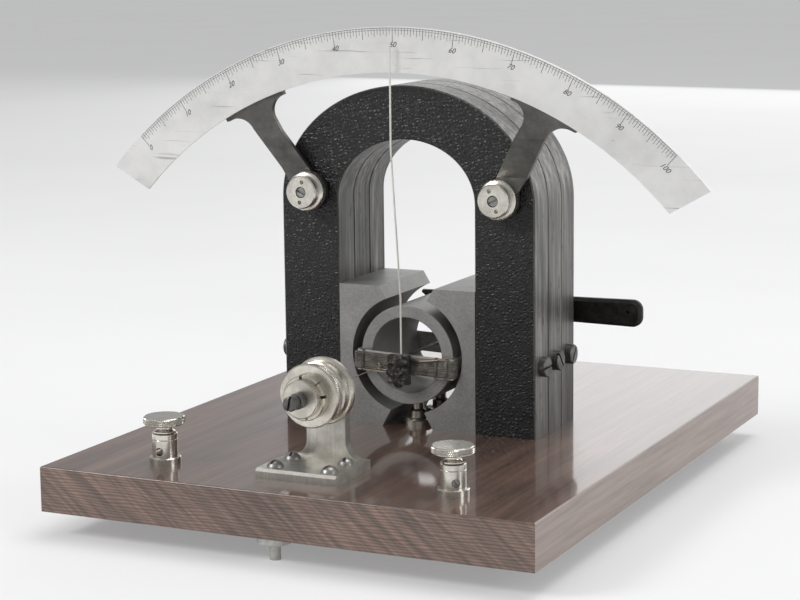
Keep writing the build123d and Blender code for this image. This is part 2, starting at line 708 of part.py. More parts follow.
for tag, side in SIDES:
    eye = Vector(side * EYE_X, EYE_Z)
    direction = (Vector(*scale_point(SCALE_IN_R - HEAD_DOWN, side * HEAD_ANGLE)) - eye).normalized()
    corners = [scale_point(SCALE_IN_R - HEAD_DOWN, side * (HEAD_ANGLE + d * HEAD_HALF_ANGLE)) for d in (-1, 1)]
    tops = [scale_point(SCALE_IN_R + HEAD_UP, side * (HEAD_ANGLE + d * HEAD_HALF_ANGLE)) for d in (-1, 1)]
    edges = [eye + direction.rotate(Axis.Z, -90 * w * side) * ARM_W / 2 for w in (-1, 1)]
    inner = [meeting(edge, direction, *corners) for edge in edges]
    step_low = EYE_Z + EYE_R + 1.0
    step_high = step_low + CRANK_SHARE * (min(z for x, z in corners) - step_low)
    with BuildPart() as bracket:
        with BuildSketch(Plane.XZ.offset(-EYE_BACK)) as outline:
            with BuildLine():
                Polyline(edges[0], inner[0], inner[1], edges[1], close=True)
            make_face()
            with BuildLine():
                Line(tops[0], corners[0])
                Line(corners[0], corners[1])
                Line(corners[1], tops[1])
                ThreePointArc(tops[1], scale_point(SCALE_IN_R + HEAD_UP, side * HEAD_ANGLE), tops[0])
            make_face()
            for neck, corner in zip(inner, corners):
                vertex = outline.vertices().sort_by_distance(neck)[0]
                fillet(vertex, flare_radius(neck, corner, direction))
            with Locations(eye):
                Circle(EYE_R)
                Circle(STUD_R + FIT, mode=Mode.SUBTRACT)
            with Locations(*[place for place in SCALE_SCREWS if place[0] * side > 0]):
                Circle(SCALE_SCREW_R + FIT, mode=Mode.SUBTRACT)
        extrude(amount=BRACKET_T + CRANK)
        with BuildSketch(Plane.YZ):
            with BuildLine():
                Polyline(
                    (EYE_BACK, BASE_TOP), (EYE_BACK, step_low), (SCALE_BACK + BRACKET_T, step_high),
                    (SCALE_BACK + BRACKET_T, step_high + SCALE_R), (SCALE_BACK, step_high + SCALE_R),
                    (SCALE_BACK, step_high), (BRACKET_FRONT, step_low), (BRACKET_FRONT, BASE_TOP), close=True)
            make_face()
        extrude(amount=SCALE_R, both=True, mode=Mode.INTERSECT)
    bracket.part.label = f"scale_bracket_{tag}"
    export_step(bracket.part, f"parts/scale_bracket_{tag}.step")

with BuildPart() as bracket_washers:
    with BuildSketch(Plane.XZ.offset(-MAG_FRONT)):
        with Locations((-EYE_X, EYE_Z), (EYE_X, EYE_Z)):
            Circle(WASHER_R)
            Circle(STUD_R + FIT, mode=Mode.SUBTRACT)
    extrude(amount=WASHER_T)
bracket_washers.part.label = "bracket_washers"
export_step(bracket_washers.part, "parts/bracket_washers.step")

with BuildPart() as scale_screws:
    for x, z in SCALE_SCREWS:
        seat = rearward(x, SCALE_BACK + BRACKET_T, z)
        shank = BRACKET_T + SCALE_SCREW_BITE
        add(screw(seat, SCALE_SCREW_HEAD_R, SCALE_SCREW_HEAD_T, SCALE_SCREW_R, shank, 30.0))
scale_screws.part.label = "scale_screws"
export_step(scale_screws.part, "parts/scale_screws.step")

with BuildPart() as scale_studs:
    for side in (-1, 1):
        length = STUD_IN + WASHER_T + BRACKET_T + NUT_H - 0.3
        place = forward(side * EYE_X, MAG_FRONT + STUD_IN, EYE_Z)
        add(turned(place, (
            (0, 0), (STUD_R, 0), (STUD_R, length - 0.5), (STUD_R - 0.5, length), (0, length))))
        with BuildSketch(across(place, length)):
            Rectangle(2.4 * STUD_R, 1.0, rotation=side * 25.0)
        extrude(amount=-1.0, mode=Mode.SUBTRACT)
scale_studs.part.label = "scale_studs"
export_step(scale_studs.part, "parts/scale_studs.step")

for tag, side in SIDES:
    with BuildPart() as clamp_nut:
        place = forward(side * EYE_X, BRACKET_FRONT, EYE_Z)
        add(turned(place, (
            (STUD_R + FIT, 0), (NUT_FLANGE_R, 0), (NUT_FLANGE_R, NUT_FLANGE_T - 0.5),
            (NUT_FLANGE_R - 0.5, NUT_FLANGE_T), (NUT_DISC_R, NUT_FLANGE_T + 0.4), (NUT_DISC_R, NUT_H - 0.6),
            (NUT_DISC_R - 0.6, NUT_H), (STUD_R + FIT, NUT_H))))
        with BuildSketch(across(place, NUT_H)):
            with PolarLocations(NUT_HOLE_PITCH / 2, 2, start_angle=90.0 - NUT_TURN[tag]):
                Circle(NUT_HOLE_R)
        extrude(amount=-3.0, mode=Mode.SUBTRACT)
    clamp_nut.part.label = f"scale_nut_{tag}"
    export_step(clamp_nut.part, f"parts/scale_nut_{tag}.step")

# Suspension stands
for name, (rear_edge, facing) in STANDS.items():
    with BuildPart() as stand:
        with BuildSketch(Plane.XY.offset(BASE_TOP)):
            with Locations((0, rear_edge + facing * PLATE_L / 2)):
                Rectangle(2 * PLATE_HALF, PLATE_L)
        extrude(amount=PLATE_T)
        outer_edge = stand.edges().filter_by(Axis.X).group_by(Axis.Z)[-1].sort_by(Axis.Y)[0 if facing < 0 else -1]
        chamfer(outer_edge, PLATE_BEVEL)
        with BuildSketch(Plane.XZ.offset(-rear_edge)):
            with BuildLine():
                foot = BASE_TOP + PLATE_T
                flare = UPRIGHT_FLARE
                Line((-UPRIGHT_HALF - flare, foot), (UPRIGHT_HALF + flare, foot))
                RadiusArc((UPRIGHT_HALF + flare, foot), (UPRIGHT_HALF, foot + flare), flare)
                Line((UPRIGHT_HALF, foot + flare), (UPRIGHT_HALF, AXIS_Z))
                ThreePointArc((UPRIGHT_HALF, AXIS_Z), (0, AXIS_Z + UPRIGHT_HALF), (-UPRIGHT_HALF, AXIS_Z))
                Line((-UPRIGHT_HALF, AXIS_Z), (-UPRIGHT_HALF, foot + flare))
                RadiusArc((-UPRIGHT_HALF, foot + flare), (-UPRIGHT_HALF - flare, foot), flare)
            make_face()
            with Locations((0, AXIS_Z)):
                Circle((HEAD_SHAFT_R if name == "front" else TENSION_R) + FIT, mode=Mode.SUBTRACT)
        extrude(amount=-facing * UPRIGHT_T)
        with BuildSketch(Plane.XY.offset(BASE_TOP)):
            with Locations(*STAND_SCREWS[name]):
                Circle(STAND_SHANK_R + FIT)
        extrude(amount=PLATE_T, mode=Mode.SUBTRACT)
    stand.part.label = f"{name}_stand"
    export_step(stand.part, f"parts/{name}_stand.step")

    with BuildPart() as stand_screws:
        for (x, y), slot_turn in zip(STAND_SCREWS[name], (80.0, 62.0, 96.0, 100.0)):
            seat = upward(x, y, BASE_TOP + PLATE_T)
            add(screw(seat, STAND_HEAD_R, STAND_HEAD_T, STAND_SHANK_R, STAND_SHANK_L, slot_turn, domed=True))
    stand_screws.part.label = f"{name}_stand_screws"
    export_step(stand_screws.part, f"parts/{name}_stand_screws.step")

# Torsion head, from its rear face forward
HEAD_REAR_Y = FRONT_STAND_Y - UPRIGHT_T - HEAD_GAP
HEAD_BORE_R = HEAD_SHAFT_R + FIT
with BuildPart() as head_drum:
    add(turned(forward(0, HEAD_REAR_Y, AXIS_Z), (
        (HEAD_BORE_R, 0), (DRUM_REAR_R - 0.6, 0), (DRUM_REAR_R, 0.6), (DRUM_REAR_R, 2.4),
        (DRUM_REAR_R - 0.7, 3.1), (DRUM_BAND_R, 3.4), (DRUM_BAND_R, 8.2), (DRUM_GROOVE_R, 9.0),
        (DRUM_GROOVE_R, 10.4), (DRUM_BAND_R, 11.0), (DRUM_BAND_R, 15.0), (DRUM_FLANGE_R, 15.4),
        (DRUM_FLANGE_R, DRUM_L - 0.7), (DRUM_FLANGE_R - 0.7, DRUM_L), (HEAD_BORE_R, DRUM_L))))
head_drum.part.label = "head_drum"
export_step(head_drum.part, "parts/head_drum.step")

RING_REAR_Y = HEAD_REAR_Y - DRUM_L
with BuildPart() as head_ring_nut:
    place = forward(0, RING_REAR_Y, AXIS_Z)
    add(turned(place, (
        (HEAD_BORE_R, 0), (RING_R, 0), (RING_R, RING_T - 0.5), (RING_R - 0.5, RING_T),
        (RING_BORE_R, RING_T), (RING_BORE_R, 1.6), (HEAD_BORE_R, 1.6))))
    with BuildSketch(across(place, RING_T)):
        with PolarLocations((RING_R + RING_BORE_R) / 2, 4, start_angle=RING_SLOT_TURN):
            Rectangle(2 * (RING_R - RING_BORE_R), RING_SLOT_W)
        with PolarLocations((RING_R + RING_BORE_R) / 2, 1, start_angle=RING_CUT_TURN):
            Rectangle(2 * (RING_R - RING_BORE_R), RING_CUT_W)
    extrude(amount=-RING_SLOT_D, mode=Mode.SUBTRACT)
head_ring_nut.part.label = "head_ring_nut"
export_step(head_ring_nut.part, "parts/head_ring_nut.step")

DISC_REAR_Y = RING_REAR_Y - RING_T
HUB_R = RING_BORE_R - 0.2
with BuildPart() as head_disc:
    add(turned(forward(0, DISC_REAR_Y, AXIS_Z), (
        (HEAD_BORE_R, -RING_T + 1.7), (HUB_R, -RING_T + 1.7), (HUB_R, 0), (DISC_R, 0), (DISC_R, DISC_T - 0.4),
        (DISC_R - 0.4, DISC_T), (HEAD_BORE_R, DISC_T))))
head_disc.part.label = "head_disc"
export_step(head_disc.part, "parts/head_disc.step")

DISC_FRONT_Y = DISC_REAR_Y - DISC_T
with BuildPart() as head_screw:
    place = forward(0, DISC_FRONT_Y, AXIS_Z)
    add(turned(place, (
        (0, 0), (HEAD_COLLAR_R - 0.4, 0), (HEAD_COLLAR_R, 0.4), (HEAD_COLLAR_R, HEAD_COLLAR_T - 0.8),
        (HEAD_COLLAR_R - 0.8, HEAD_COLLAR_T), (HEAD_COLLAR_NECK_R, HEAD_COLLAR_T),
        (HEAD_COLLAR_NECK_R, HEAD_COLLAR_T + 1.0), (HEAD_SCREW_R - 0.6, HEAD_COLLAR_T + 1.4),
        (HEAD_SCREW_R, HEAD_COLLAR_T + 2.2), (HEAD_SCREW_R, HEAD_SCREW_T - 0.6), (HEAD_SCREW_R - 0.8, HEAD_SCREW_T),
        (0, HEAD_SCREW_T))))
    with BuildSketch(across(place, HEAD_SCREW_T)):
        Rectangle(2.4 * HEAD_SCREW_R, SLOT_W, rotation=80.0)
    extrude(amount=-HEAD_SCREW_SLOT_D, mode=Mode.SUBTRACT)
head_screw.part.label = "head_screw"
export_step(head_screw.part, "parts/head_screw.step")

HEAD_SHAFT_REAR = FRONT_STAND_Y + HEAD_GAP + RETAINER_T + 1.5
with BuildPart() as head_shaft:
    length = HEAD_SHAFT_REAR - DISC_FRONT_Y
    add(turned(rearward(0, DISC_FRONT_Y, AXIS_Z), (
        (WIRE_R + FIT, 0), (HEAD_SHAFT_R, 0), (HEAD_SHAFT_R, length - 0.5), (HEAD_SHAFT_R - 0.5, length),
        (WIRE_R + FIT, length))))
head_shaft.part.label = "head_shaft"
export_step(head_shaft.part, "parts/head_shaft.step")

with BuildPart() as head_retainer:
    place = rearward(0, FRONT_STAND_Y + HEAD_GAP, AXIS_Z)
    add(turned(place, (
        (HEAD_BORE_R, 0), (RETAINER_R, 0), (RETAINER_R, RETAINER_T - 0.4), (RETAINER_R - 0.4, RETAINER_T),
        (HEAD_BORE_R, RETAINER_T))))
    with BuildSketch(across(place, RETAINER_T)):
        Rectangle(2.4 * RETAINER_R, SLOT_W)
    extrude(amount=-1.0, mode=Mode.SUBTRACT)
head_retainer.part.label = "head_retainer"
export_step(head_retainer.part, "parts/head_retainer.step")

# Suspension wires, held in the coil's end clamps
with BuildPart() as suspension_front:
    start = -WINDING_OUT_Y
    length = start - (HEAD_SHAFT_REAR - 6.0)
    add(turned(forward(0, start, AXIS_Z), ((0, 0), (WIRE_R, 0), (WIRE_R, length), (0, length))))
suspension_front.part.label = "suspension_front"
export_step(suspension_front.part, "parts/suspension_front.step")

TENSION_TIP = REAR_STAND_Y - TENSION_FRONT
with BuildPart() as suspension_rear:
    length = TENSION_TIP + 5.0 - WINDING_OUT_Y
    add(turned(rearward(0, WINDING_OUT_Y, AXIS_Z), ((0, 0), (WIRE_R, 0), (WIRE_R, length), (0, length))))
suspension_rear.part.label = "suspension_rear"
export_step(suspension_rear.part, "parts/suspension_rear.step")

# Rear tension screw with its lock nut
with BuildPart() as tension_screw:
    rear = TENSION_FRONT + UPRIGHT_T
    place = rearward(0, TENSION_TIP, AXIS_Z)
    add(turned(place, (
        (WIRE_R + FIT, 0), (TENSION_R - 0.6, 0), (TENSION_R, 0.6), (TENSION_R, rear),
        (TENSION_HEAD_R, rear), (TENSION_HEAD_R, rear + TENSION_HEAD_T - 0.5),
        (TENSION_HEAD_R - 0.5, rear + TENSION_HEAD_T), (0, rear + TENSION_HEAD_T), (0, 6.0), (WIRE_R + FIT, 6.0))))
    with BuildSketch(across(place, rear + TENSION_HEAD_T)):
        Rectangle(2.4 * TENSION_HEAD_R, SLOT_W)
    extrude(amount=-1.4, mode=Mode.SUBTRACT)
tension_screw.part.label = "tension_screw"
export_step(tension_screw.part, "parts/tension_screw.step")

with BuildPart() as tension_nut:
    with BuildSketch(Plane.XZ.offset(-(REAR_STAND_Y - TENSION_NUT_T))):
        with Locations((0, AXIS_Z)):
            RegularPolygon(TENSION_NUT_R, 6)
            Circle(TENSION_R + FIT, mode=Mode.SUBTRACT)
    extrude(amount=-TENSION_NUT_T)
tension_nut.part.label = "tension_nut"
export_step(tension_nut.part, "parts/tension_nut.step")

# Terminals
POST_BORE_R = SHANK_R + FIT
SHANK_LOW_H = WIRE_HOLE_H + WIRE_HOLE_R + SHANK_LIFT
KNOB_LOW_H = POST_H + KNOB_GAP
NECK_TOP_H = KNOB_TOP_H - KNOB_T
for tag, side in SIDES:
    x, y = TERMINALS[tag]
    with BuildPart() as post:
        groove = POST_H - POST_GROOVE_DOWN
        stud = BASE_T - POST_SINK + 2 * LEAD_R + POST_WASHER_T + POST_NUT_T
        add(turned(upward(x, y, BASE_TOP), (
            (0, -stud), (POST_STUD_R, -stud), (POST_STUD_R, 0), (POST_FLANGE_R, 0),
            (POST_FLANGE_R, POST_FLANGE_T - 0.5), (POST_FLANGE_R - 0.5, POST_FLANGE_T),
            (POST_R, POST_FLANGE_T), (POST_R, groove - 0.3), (POST_R - 0.25, groove), (POST_R, groove + 0.3),
            (POST_R, POST_H - 0.5), (POST_R - 0.5, POST_H), (POST_BORE_R, POST_H),
            (POST_BORE_R, SHANK_LOW_H - 1.0), (0, SHANK_LOW_H - 1.0))))
        turn = math.radians(WIRE_HOLE_TURN[tag])
        hole_plane = Plane(
            origin=(x, y, BASE_TOP + WIRE_HOLE_H), x_dir=(math.cos(turn), math.sin(turn), 0),
            z_dir=(math.sin(turn), -math.cos(turn), 0))
        with BuildSketch(hole_plane):
            Circle(WIRE_HOLE_R)
        extrude(amount=2 * POST_R, both=True, mode=Mode.SUBTRACT)
    post.part.label = f"terminal_post_{tag}"
    export_step(post.part, f"parts/terminal_post_{tag}.step")

    with BuildPart() as shank:
        add(turned(upward(x, y, BASE_TOP), (
            (0, SHANK_LOW_H), (SHANK_R - 0.4, SHANK_LOW_H), (SHANK_R, SHANK_LOW_H + 0.4),
            (SHANK_R, KNOB_LOW_H), (0, KNOB_LOW_H))))
    shank.part.label = f"terminal_shank_{tag}"
    export_step(shank.part, f"parts/terminal_shank_{tag}.step")

    with BuildPart() as knob:
        with BuildSketch(upward(x, y, BASE_TOP)):
            with BuildLine():
                Polyline(
                    (KNOB_SHOULDER_R, KNOB_LOW_H + 0.5), (KNOB_SHOULDER_R, KNOB_LOW_H), (0, KNOB_LOW_H),
                    (0, KNOB_TOP_H), (KNOB_R - 0.4, KNOB_TOP_H), (KNOB_R, KNOB_TOP_H - 0.4),
                    (KNOB_R, NECK_TOP_H + 0.4), (KNOB_R - 0.4, NECK_TOP_H), (KNOB_NECK_R + 1.4, NECK_TOP_H))
                ThreePointArc(
                    (KNOB_NECK_R + 1.4, NECK_TOP_H), (KNOB_NECK_R, (NECK_TOP_H + KNOB_LOW_H + 0.5) / 2),
                    (KNOB_SHOULDER_R, KNOB_LOW_H + 0.5))
            make_face()
        revolve(axis=Axis((x, y, 0), (0, 0, 1)))
    knob.part.label = f"terminal_knob_{tag}"
    export_step(knob.part, f"parts/terminal_knob_{tag}.step")

with BuildPart() as terminal_nuts:
    for x, y in TERMINALS.values():
        add(nut_and_washer(x, y, LEAD_Z - LEAD_R))
terminal_nuts.part.label = "terminal_nuts"
export_step(terminal_nuts.part, "parts/terminal_nuts.step")

# Rear lever on its pivot
LEVER_FRONT = MAG_REAR + LEVER_STANDOFF
LEVER_Z = BASE_TOP + LEVER_H
with BuildPart() as rear_lever:
    left = LEVER_PIVOT_X - LEVER_INNER
    right = LEVER_PIVOT_X + LEVER_OUTER
    with BuildSketch(Plane.XZ.offset(-LEVER_FRONT)) as outline:
        with BuildLine():
            Polyline(
                (left, LEVER_Z - LEVER_W / 2), (left, LEVER_Z + LEVER_W / 2),
                (right, LEVER_Z + LEVER_END_W / 2), (right, LEVER_Z - LEVER_END_W / 2), close=True)
        make_face()
        fillet(outline.vertices().group_by(Axis.X)[-1], LEVER_END_R)
        with Locations((left - 0.25 * LEVER_BITE_R, LEVER_Z)):
            Circle(LEVER_BITE_R, mode=Mode.SUBTRACT)
        with Locations((LEVER_PIVOT_X, LEVER_Z)):
            Circle(PIVOT_R + FIT, mode=Mode.SUBTRACT)
    extrude(amount=-LEVER_T)
    low_edge = rear_lever.faces().sort_by(Axis.Y)[0].edges().filter_by(GeomType.LINE).sort_by(SortBy.LENGTH)[-2:]
    chamfer(low_edge.sort_by(Axis.Z)[0], LEVER_BEVEL)
    with BuildSketch(Plane.XZ.offset(-LEVER_FRONT)):
        with Locations((right - LEVER_HOLE_IN, LEVER_Z + 1.0)):
            Circle(LEVER_HOLE_R)
    extrude(amount=-LEVER_HOLE_D, mode=Mode.SUBTRACT)
rear_lever.part.label = "rear_lever"
export_step(rear_lever.part, "parts/rear_lever.step")

with BuildPart() as lever_spacer:
    add(turned(rearward(LEVER_PIVOT_X, MAG_REAR, LEVER_Z), (
        (PIVOT_R + FIT, 0), (PIVOT_BOSS_R, 0), (PIVOT_BOSS_R, LEVER_STANDOFF - 0.2),
        (PIVOT_R + FIT, LEVER_STANDOFF - 0.2))))
lever_spacer.part.label = "lever_spacer"
export_step(lever_spacer.part, "parts/lever_spacer.step")

with BuildPart() as lever_pivot:
    seat = rearward(LEVER_PIVOT_X, LEVER_FRONT + LEVER_T + 0.2, LEVER_Z)
    add(screw(seat, PIVOT_HEAD_R, PIVOT_HEAD_T, PIVOT_R, LEVER_STANDOFF + LEVER_T + 0.2 + PIVOT_BITE - 0.5, 35.0))
lever_pivot.part.label = "lever_pivot"
export_step(lever_pivot.part, "parts/lever_pivot.step")
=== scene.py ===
import math
import random

import bmesh
import bpy
from mathutils import Euler, Matrix, Vector


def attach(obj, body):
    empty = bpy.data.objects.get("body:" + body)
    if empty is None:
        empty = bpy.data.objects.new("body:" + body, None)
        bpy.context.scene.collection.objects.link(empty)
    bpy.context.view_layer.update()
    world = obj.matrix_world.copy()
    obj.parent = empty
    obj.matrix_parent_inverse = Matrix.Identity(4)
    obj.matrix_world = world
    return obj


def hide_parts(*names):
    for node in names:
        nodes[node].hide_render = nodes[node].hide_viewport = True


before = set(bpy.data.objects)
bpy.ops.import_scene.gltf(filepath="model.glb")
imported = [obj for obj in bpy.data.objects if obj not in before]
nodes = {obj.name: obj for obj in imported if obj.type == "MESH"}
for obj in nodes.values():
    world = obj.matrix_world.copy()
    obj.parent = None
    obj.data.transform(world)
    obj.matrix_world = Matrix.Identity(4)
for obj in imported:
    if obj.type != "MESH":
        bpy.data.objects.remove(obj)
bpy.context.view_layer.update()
MM = 0.001
rng = random.Random(7)

# Sizes and places of the construction, in millimetres
AXIS_Z = 76.5
BASE_TOP = 36.5
SCALE_Z = 24.6
SCALE_R = 228.2
FACE_Y = -41.9
TERMINAL_X = 80.2
TERMINAL_Y = -146.7
NUT_X = 56.0
NUT_Y = -35.0
NUT_Z = 163.8
HEAD_REAR = -123.8
DRUM_L = 17.4
RING_T = 5.4
DISC_REAR = HEAD_REAR - DRUM_L - RING_T
COIL_DROP = 4.5
COIL_TILT = math.radians(2.0)
WALL_X = 28.6
WALL_Y = 31.6
SIDES = (("left", -1), ("right", 1))

# Camera, solved from the photograph's board and vertical edges
AZ = math.radians(25.66)
EL = math.radians(9.71)
ROLL = math.radians(-0.64)
FOCAL_PIXELS = 2160.12
FRAME_PIXELS = 800.0
SENSOR = 36.0
CAMERA_PLACE = Vector((0.4911, -1.0584, 0.3020))
look = Vector((-math.sin(AZ) * math.cos(EL), math.cos(AZ) * math.cos(EL), -math.sin(EL)))
right = Vector((math.cos(AZ), math.sin(AZ), 0))
up = right.cross(look)
right, up = right * math.cos(ROLL) + up * math.sin(ROLL), up * math.cos(ROLL) - right * math.sin(ROLL)
cam_data = bpy.data.cameras.new("camera")
cam_data.sensor_width = SENSOR
cam_data.lens = FOCAL_PIXELS * SENSOR / FRAME_PIXELS
cam_data.clip_start = 0.05
cam_data.clip_end = 50.0
cam = bpy.data.objects.new("camera", cam_data)
turn = Matrix((right, up, -look)).transposed()
cam.matrix_world = Matrix.Translation(CAMERA_PLACE) @ turn.to_4x4()
bpy.context.collection.objects.link(cam)
bpy.context.scene.camera = cam
bpy.context.scene.view_settings.view_transform = "Standard"


# Materials
class Mat:
    """Small builder for node materials. Sockets that are uniform are set on the shader."""

    def __init__(self, name, rough=0.4, metal=0.0, color=(0.5, 0.5, 0.5), **other):
        self.m = bpy.data.materials.new(name)
        self.m.use_nodes = True
        self.t = self.m.node_tree
        self.b = self.t.nodes["Principled BSDF"]
        self.set(self.b, "Roughness", rough)
        self.set(self.b, "Metallic", metal)
        self.set(self.b, "Base Color", (*color, 1))
        for k, v in other.items():
            self.set(self.b, k.replace("_", " "), v)
        self.normal = None

    def set(self, node, key, value):
        if isinstance(value, bpy.types.NodeSocket):
            self.t.links.new(value, node.inputs[key])
        else:
            node.inputs[key].default_value = value

    def node(self, kind, out=0, props=(), **inputs):
        n = self.t.nodes.new(kind)
        for k, v in dict(props).items():
            setattr(n, k, v)
        for k, v in inputs.items():
            key = int(k[1:]) if k[0] == "_" and k[1:].isdigit() else k.replace("_", " ")
            self.set(n, key, v)
        return n.outputs[out]

    def coords(self, scale=(1, 1, 1), shift=(0, 0, 0)):
        where = self.node("ShaderNodeTexCoord", out=3)
        return self.node("ShaderNodeMapping", Vector=where, Scale=scale, Location=shift)

    def noise(self, vec, scale, detail=4.0, rough=0.55, distortion=0.0):
        return self.node("ShaderNodeTexNoise", Vector=vec, Scale=scale, Detail=detail, Roughness=rough,
                         Distortion=distortion)

    def ramp(self, fac, stops, interpolation="LINEAR"):
        n = self.t.nodes.new("ShaderNodeValToRGB")
        n.color_ramp.interpolation = interpolation
        els = n.color_ramp.elements
        while len(els) < len(stops):
            els.new(0.5)
        for e, (p, c) in zip(els, stops):
            e.position = p
            e.color = (*c, 1) if isinstance(c, tuple) else (c, c, c, 1)
        self.t.links.new(fac, n.inputs[0])
        return n.outputs[0]

    def math(self, op, a, b=0.5, c=0.5, clamp=False):
        return self.node("ShaderNodeMath", props={"operation": op, "use_clamp": clamp}, _0=a, _1=b, _2=c)

    def mix(self, fac, a, b, mode="MIX"):
        n = self.t.nodes.new("ShaderNodeMix")
        n.data_type = "RGBA"
        n.blend_type = mode
        self.set(n, 0, fac)
        for i, v in ((6, a), (7, b)):
            if isinstance(v, tuple):
                v = (*v, 1)
            self.set(n, i, v)
        return n.outputs[2]

    def bump(self, height, strength=0.3, distance=0.0002):
        n = self.t.nodes.new("ShaderNodeBump")
        self.set(n, "Height", height)
        self.set(n, "Strength", strength)
        self.set(n, "Distance", distance)
        if self.normal is not None:
            self.t.links.new(self.normal, n.inputs["Normal"])
        self.normal = n.outputs[0]
        self.t.links.new(self.normal, self.b.inputs["Normal"])

    def facing(self, axis):
        """How far the surface faces an axis, from -1 to 1, in the object's own frame."""
        geo = self.node("ShaderNodeNewGeometry", out=1)
        return self.node("ShaderNodeSeparateXYZ", out="XYZ".index(axis), Vector=geo)


def wood():
    m = Mat("varnished_wood", rough=0.42, Coat_Weight=0.9, Coat_Roughness=0.07, Coat_IOR=1.5)
    grain_at = m.coords(scale=(1, 0.055, 1))
    large = m.noise(grain_at, 46, 5, 0.6, 1.4)
    fine = m.noise(m.coords(scale=(1, 0.02, 1)), 620, 3, 0.6)
    pores = m.noise(m.coords(scale=(1, 0.045, 1)), 1500, 2, 0.5)
    top = m.ramp(large, [(0.28, (0.052, 0.026, 0.018)), (0.5, (0.098, 0.052, 0.036)),
                         (0.72, (0.155, 0.088, 0.062))])
    top = m.mix(0.55, top, m.ramp(fine, [(0.3, 0.28), (0.7, 0.78)]), "OVERLAY")
    top = m.mix(m.ramp(pores, [(0.62, 0.0), (0.7, 0.55)]), top, (0.03, 0.016, 0.012))
    end_at = m.coords(scale=(0.16, 1, 1))
    rings = m.node("ShaderNodeTexWave", Vector=end_at, Scale=210, Distortion=7.5, Detail=4.0,
                   props={"wave_type": "BANDS", "bands_direction": "Z"})
    skew = m.node("ShaderNodeVectorRotate", Vector=m.node("ShaderNodeTexCoord", out=3), Angle=0.9,
                  props={"rotation_type": "Y_AXIS"})
    saw = m.noise(m.node("ShaderNodeMapping", Vector=skew, Scale=(1, 1, 0.05)), 480, 2, 0.5)
    end = m.ramp(rings, [(0.2, (0.105, 0.062, 0.046)), (0.8, (0.185, 0.118, 0.09))])
    end = m.mix(0.65, end, m.ramp(saw, [(0.32, 0.25), (0.68, 0.82)]), "OVERLAY")
    patches = m.noise(m.coords(scale=(1, 1, 2.5)), 30, 4)
    end = m.mix(0.5, end, m.ramp(patches, [(0.3, 0.3), (0.7, 0.7)]), "OVERLAY")
    is_front = m.ramp(m.math("ABSOLUTE", m.facing("Y")), [(0.5, 0.0), (0.7, 1.0)])
    # The side faces get a lighter wood colour than the top. This is painted light, standing for the light
    # that falls on the board's sides; the grain in it is the wood's own.
    side_grain = m.noise(m.coords(scale=(1, 0.05, 1)), 260, 4, 0.6)
    side = m.ramp(side_grain, [(0.3, (0.16, 0.105, 0.082)), (0.7, (0.31, 0.222, 0.18))])
    is_side = m.ramp(m.math("ABSOLUTE", m.facing("X")), [(0.5, 0.0), (0.7, 1.0)])
    color = m.mix(is_side, m.mix(is_front, top, end), side)
    m.set(m.b, "Base Color", color)
    dull = m.math("MAXIMUM", is_front, is_side)
    m.set(m.b, "Coat Weight", 0.9)
    m.set(m.b, "Roughness", m.mix(dull, (0.4, 0.4, 0.4), (0.55, 0.55, 0.55)))
    m.bump(m.math("ADD", m.math("MULTIPLY", large, 0.6), m.math("MULTIPLY", fine, 0.4)), 0.16, 0.00025)
    m.t.links.new(m.normal, m.b.inputs["Coat Normal"])
    return m.m


def magnet():
    m = Mat("magnet_steel", rough=0.5)
    at = m.coords()
    crackle = m.node("ShaderNodeTexVoronoi", Vector=at, Scale=520.0, props={"feature": "DISTANCE_TO_EDGE"})
    lumps = m.noise(at, 380, 5, 0.65)
    paint = m.ramp(m.noise(at, 60, 4, 0.6), [(0.3, 0.0025), (0.7, 0.008)])
    speck = m.ramp(m.noise(at, 1300, 3, 0.6), [(0.66, 0.0), (0.78, 0.55)])
    patch = m.ramp(m.noise(at, 26, 3, 0.5), [(0.45, 0.15), (0.7, 1.0)])
    paint = m.mix(m.math("MULTIPLY", speck, patch), paint, (0.2, 0.195, 0.185))
    streak = m.noise(m.coords(scale=(1, 1, 0.035)), 380, 5, 0.62)
    broad = m.noise(m.coords(scale=(1, 1, 0.2)), 60, 4, 0.6)
    steel = m.ramp(streak, [(0.3, (0.055, 0.053, 0.05)), (0.5, (0.13, 0.127, 0.12)),
                            (0.7, (0.26, 0.255, 0.245))])
    steel = m.mix(0.7, steel, m.ramp(broad, [(0.35, 0.22), (0.65, 0.8)]), "OVERLAY")
    rust = m.ramp(m.noise(m.coords(scale=(1, 1, 0.4)), 240, 4), [(0.6, 0.0), (0.72, 0.75)])
    steel = m.mix(rust, steel, (0.03, 0.026, 0.023))
    front = m.ramp(m.math("ABSOLUTE", m.facing("Y")), [(0.6, 0.0), (0.8, 1.0)])
    m.set(m.b, "Base Color", m.mix(front, steel, paint))
    m.set(m.b, "Metallic", m.mix(front, (0.45, 0.45, 0.45), (0.0, 0.0, 0.0)))
    m.set(m.b, "Roughness", m.mix(front, (0.42, 0.42, 0.42), (0.38, 0.38, 0.38)))
    relief = m.mix(front, streak, m.math("ADD", m.math("MULTIPLY", crackle, 4.0), lumps))
    m.bump(relief, 0.55, 0.00035)
    return m.m


def iron():
    m = Mat("soft_iron", rough=0.5, metal=0.75)
    at = m.coords()
    grain = m.noise(at, 900, 5, 0.7)
    blotch = m.noise(at, 42, 4, 0.6)
    file_marks = m.noise(m.coords(scale=(0.05, 1, 1)), 700, 2, 0.5)
    c = m.ramp(grain, [(0.3, (0.26, 0.258, 0.25)), (0.7, (0.4, 0.397, 0.385))])
    c = m.mix(0.5, c, m.ramp(blotch, [(0.3, 0.38), (0.7, 0.62)]), "OVERLAY")
    m.set(m.b, "Base Color", c)
    m.set(m.b, "Roughness", m.ramp(grain, [(0.3, 0.42), (0.7, 0.6)]))
    m.bump(m.math("ADD", grain, m.math("MULTIPLY", file_marks, 0.5)), 0.25, 0.00012)
    return m.m


